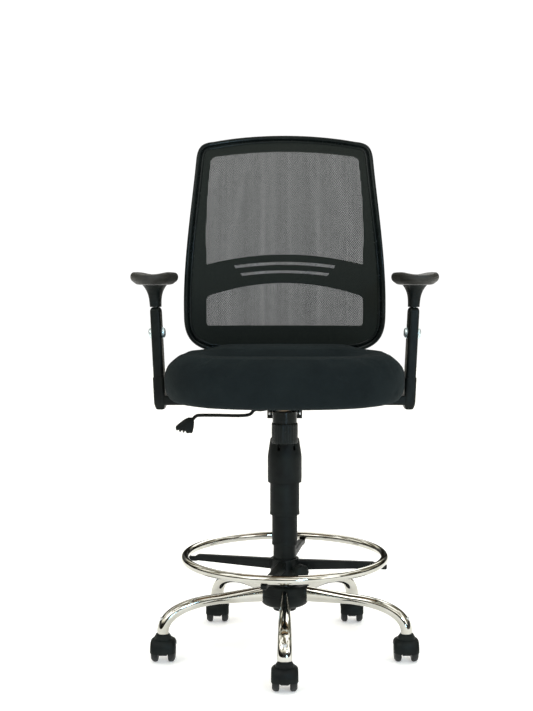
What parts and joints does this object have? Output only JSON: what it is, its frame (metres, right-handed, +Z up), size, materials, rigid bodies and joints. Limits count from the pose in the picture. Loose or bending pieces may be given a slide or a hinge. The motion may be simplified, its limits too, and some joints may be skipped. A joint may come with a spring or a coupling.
{
  "type": "drafting chair",
  "caption": "Tall swivel drafting chair: chromed star base on twin-wheel casters, foot ring, gas lift, padded seat, T-arms and mesh back.",
  "frame": {"origin": "on the floor, on the column's axis, which is also the middle of the whole chair's footprint", "axes": "+Z up; the chair faces -Y, so the sitter's right hand is on -X and the back rest is at +Y"},
  "size_m": [0.6732, 0.5747, 1.168],
  "materials": {
    "chrome": "mirror-bright chrome plate",
    "black_steel": "satin black powder coat",
    "zinc_steel": "zinc-plated steel",
    "black_plastic": "matte black moulded nylon",
    "gloss_plastic": "semi-gloss black moulding",
    "soft_plastic": "soft-touch black polyurethane",
    "seat_fabric": "fine black woven upholstery",
    "mesh_fabric": "black open-weave mesh",
    "plywood": "moulded plywood, raw edge"
  },
  "bodies": {
    "base": {"star_base": "chrome", "hub_cover": "black_plastic", "column_tube": "black_steel", "column_bushing": "soft_plastic", "thrust_bearing": "zinc_steel", "cover_lower": "black_plastic"},
    "piston": {"piston_rod": "zinc_steel"},
    "lift": {"gas_cylinder": "black_steel", "cover_upper": "black_plastic", "mechanism_housing": "black_steel", "pivot_pin": "zinc_steel"},
    "cover_middle": {"cover_middle": "black_plastic"},
    "seat_unit": {"seat_plate": "black_steel", "seat_shell": "plywood", "seat_cushion": "seat_fabric", "tension_spring": "zinc_steel", "arm_bracket_left": "black_steel", "arm_bracket_right": "black_steel", "arm_upright_left": "black_steel", "arm_upright_right": "black_steel", "arm_bolt_left": "chrome", "arm_bolt_right": "chrome", "back_frame": "gloss_plastic", "back_mesh": "mesh_fabric", "back_bracket": "black_steel"},
    "tension_knob": {"tension_knob": "gloss_plastic"},
    "lever": {"lever_rod": "black_steel", "lever_handle": "black_plastic"},
    "arm_left": {"arm_neck_left": "black_plastic", "arm_pad_left": "soft_plastic"},
    "arm_right": {"arm_neck_right": "black_plastic", "arm_pad_right": "soft_plastic"},
    "foot_rest": {"foot_ring": "chrome", "ring_spider": "black_steel"},
    "ring_knob": {"ring_knob": "black_plastic"},
    "caster_1": {"caster_stem_1": "zinc_steel", "caster_body_1": "black_plastic", "caster_axle_1": "zinc_steel"},
    "wheel_left_1": {"wheel_left_1": "black_plastic"},
    "wheel_right_1": {"wheel_right_1": "black_plastic"},
    "caster_2": {"caster_stem_2": "zinc_steel", "caster_body_2": "black_plastic", "caster_axle_2": "zinc_steel"},
    "wheel_left_2": {"wheel_left_2": "black_plastic"},
    "wheel_right_2": {"wheel_right_2": "black_plastic"},
    "caster_3": {"caster_stem_3": "zinc_steel", "caster_body_3": "black_plastic", "caster_axle_3": "zinc_steel"},
    "wheel_left_3": {"wheel_left_3": "black_plastic"},
    "wheel_right_3": {"wheel_right_3": "black_plastic"},
    "caster_4": {"caster_stem_4": "zinc_steel", "caster_body_4": "black_plastic", "caster_axle_4": "zinc_steel"},
    "wheel_left_4": {"wheel_left_4": "black_plastic"},
    "wheel_right_4": {"wheel_right_4": "black_plastic"},
    "caster_5": {"caster_stem_5": "zinc_steel", "caster_body_5": "black_plastic", "caster_axle_5": "zinc_steel"},
    "wheel_left_5": {"wheel_left_5": "black_plastic"},
    "wheel_right_5": {"wheel_right_5": "black_plastic"}
  },
  "joints": [
    {"name": "seat_swivel", "type": "hinge", "parent": "base", "child": "piston", "pos_m": [0, 0, 0.1], "axis": [0, 0, 1], "continuous": true},
    {"name": "seat_height", "type": "slide", "parent": "piston", "child": "lift", "axis": [0, 0, 1], "range_m": [-0.055, 0.08]},
    {"name": "cover_middle_slide", "type": "slide", "parent": "base", "child": "cover_middle", "axis": [0, 0, 1], "range_m": [-0.0275, 0.04]},
    {"name": "seat_tilt", "type": "hinge", "parent": "lift", "child": "seat_unit", "pos_m": [0, -0.04, 0.529], "axis": [-1, 0, 0], "range_deg": [0, 10], "stiffness_Nm_per_rad": 260, "springref_deg": -11.46, "deforming": ["tension_spring"]},
    {"name": "tension_knob_turn", "type": "hinge", "parent": "seat_unit", "child": "tension_knob", "pos_m": [0, -0.082, 0.5], "axis": [0, 0, 1], "continuous": true},
    {"name": "lever_lift", "type": "hinge", "parent": "lift", "child": "lever", "pos_m": [-0.036, -0.019, 0.526], "axis": [0, 1, 0], "range_deg": [0, 3], "stiffness_Nm_per_rad": 6, "springref_deg": -8.59},
    {"name": "arm_height_left", "type": "slide", "parent": "seat_unit", "child": "arm_left", "axis": [0.0523, 0, 0.9986], "range_m": [0, 0.065]},
    {"name": "arm_height_right", "type": "slide", "parent": "seat_unit", "child": "arm_right", "axis": [-0.0523, 0, 0.9986], "range_m": [0, 0.065]},
    {"name": "foot_ring_height", "type": "slide", "parent": "base", "child": "foot_rest", "axis": [0, 0, 1], "range_m": [-0.014, 0.028]},
    {"name": "ring_knob_turn", "type": "hinge", "parent": "foot_rest", "child": "ring_knob", "pos_m": [0.03355, -0.04974, 0.186], "axis": [0.5592, -0.829, 0], "continuous": true},
    {"name": "caster_swivel_1", "type": "hinge", "parent": "base", "child": "caster_1", "pos_m": [0, -0.273, 0.06], "axis": [0, 0, 1], "continuous": true},
    {"name": "wheel_left_roll_1", "type": "hinge", "parent": "caster_1", "child": "wheel_left_1", "pos_m": [0, -0.259, 0.025], "axis": [1, 0, 0], "continuous": true},
    {"name": "wheel_right_roll_1", "type": "hinge", "parent": "caster_1", "child": "wheel_right_1", "pos_m": [0, -0.259, 0.025], "axis": [1, 0, 0], "continuous": true},
    {"name": "caster_swivel_2", "type": "hinge", "parent": "base", "child": "caster_2", "pos_m": [0.25964, -0.08436, 0.06], "axis": [0, 0, 1], "continuous": true},
    {"name": "wheel_left_roll_2", "type": "hinge", "parent": "caster_2", "child": "wheel_left_2", "pos_m": [0.25964, -0.07036, 0.025], "axis": [1, 0, 0], "continuous": true},
    {"name": "wheel_right_roll_2", "type": "hinge", "parent": "caster_2", "child": "wheel_right_2", "pos_m": [0.25964, -0.07036, 0.025], "axis": [1, 0, 0], "continuous": true},
    {"name": "caster_swivel_3", "type": "hinge", "parent": "base", "child": "caster_3", "pos_m": [0.16046, 0.22086, 0.06], "axis": [0, 0, 1], "continuous": true},
    {"name": "wheel_left_roll_3", "type": "hinge", "parent": "caster_3", "child": "wheel_left_3", "pos_m": [0.16046, 0.23486, 0.025], "axis": [1, 0, 0], "continuous": true},
    {"name": "wheel_right_roll_3", "type": "hinge", "parent": "caster_3", "child": "wheel_right_3", "pos_m": [0.16046, 0.23486, 0.025], "axis": [1, 0, 0], "continuous": true},
    {"name": "caster_swivel_4", "type": "hinge", "parent": "base", "child": "caster_4", "pos_m": [-0.16046, 0.22086, 0.06], "axis": [0, 0, 1], "continuous": true},
    {"name": "wheel_left_roll_4", "type": "hinge", "parent": "caster_4", "child": "wheel_left_4", "pos_m": [-0.16046, 0.23486, 0.025], "axis": [1, 0, 0], "continuous": true},
    {"name": "wheel_right_roll_4", "type": "hinge", "parent": "caster_4", "child": "wheel_right_4", "pos_m": [-0.16046, 0.23486, 0.025], "axis": [1, 0, 0], "continuous": true},
    {"name": "caster_swivel_5", "type": "hinge", "parent": "base", "child": "caster_5", "pos_m": [-0.25964, -0.08436, 0.06], "axis": [0, 0, 1], "continuous": true},
    {"name": "wheel_left_roll_5", "type": "hinge", "parent": "caster_5", "child": "wheel_left_5", "pos_m": [-0.25964, -0.07036, 0.025], "axis": [1, 0, 0], "continuous": true},
    {"name": "wheel_right_roll_5", "type": "hinge", "parent": "caster_5", "child": "wheel_right_5", "pos_m": [-0.25964, -0.07036, 0.025], "axis": [1, 0, 0], "continuous": true}
  ],
  "couplings": [
    {"joint": "cover_middle_slide", "follows": "seat_height", "ratio": 0.5}
  ]
}
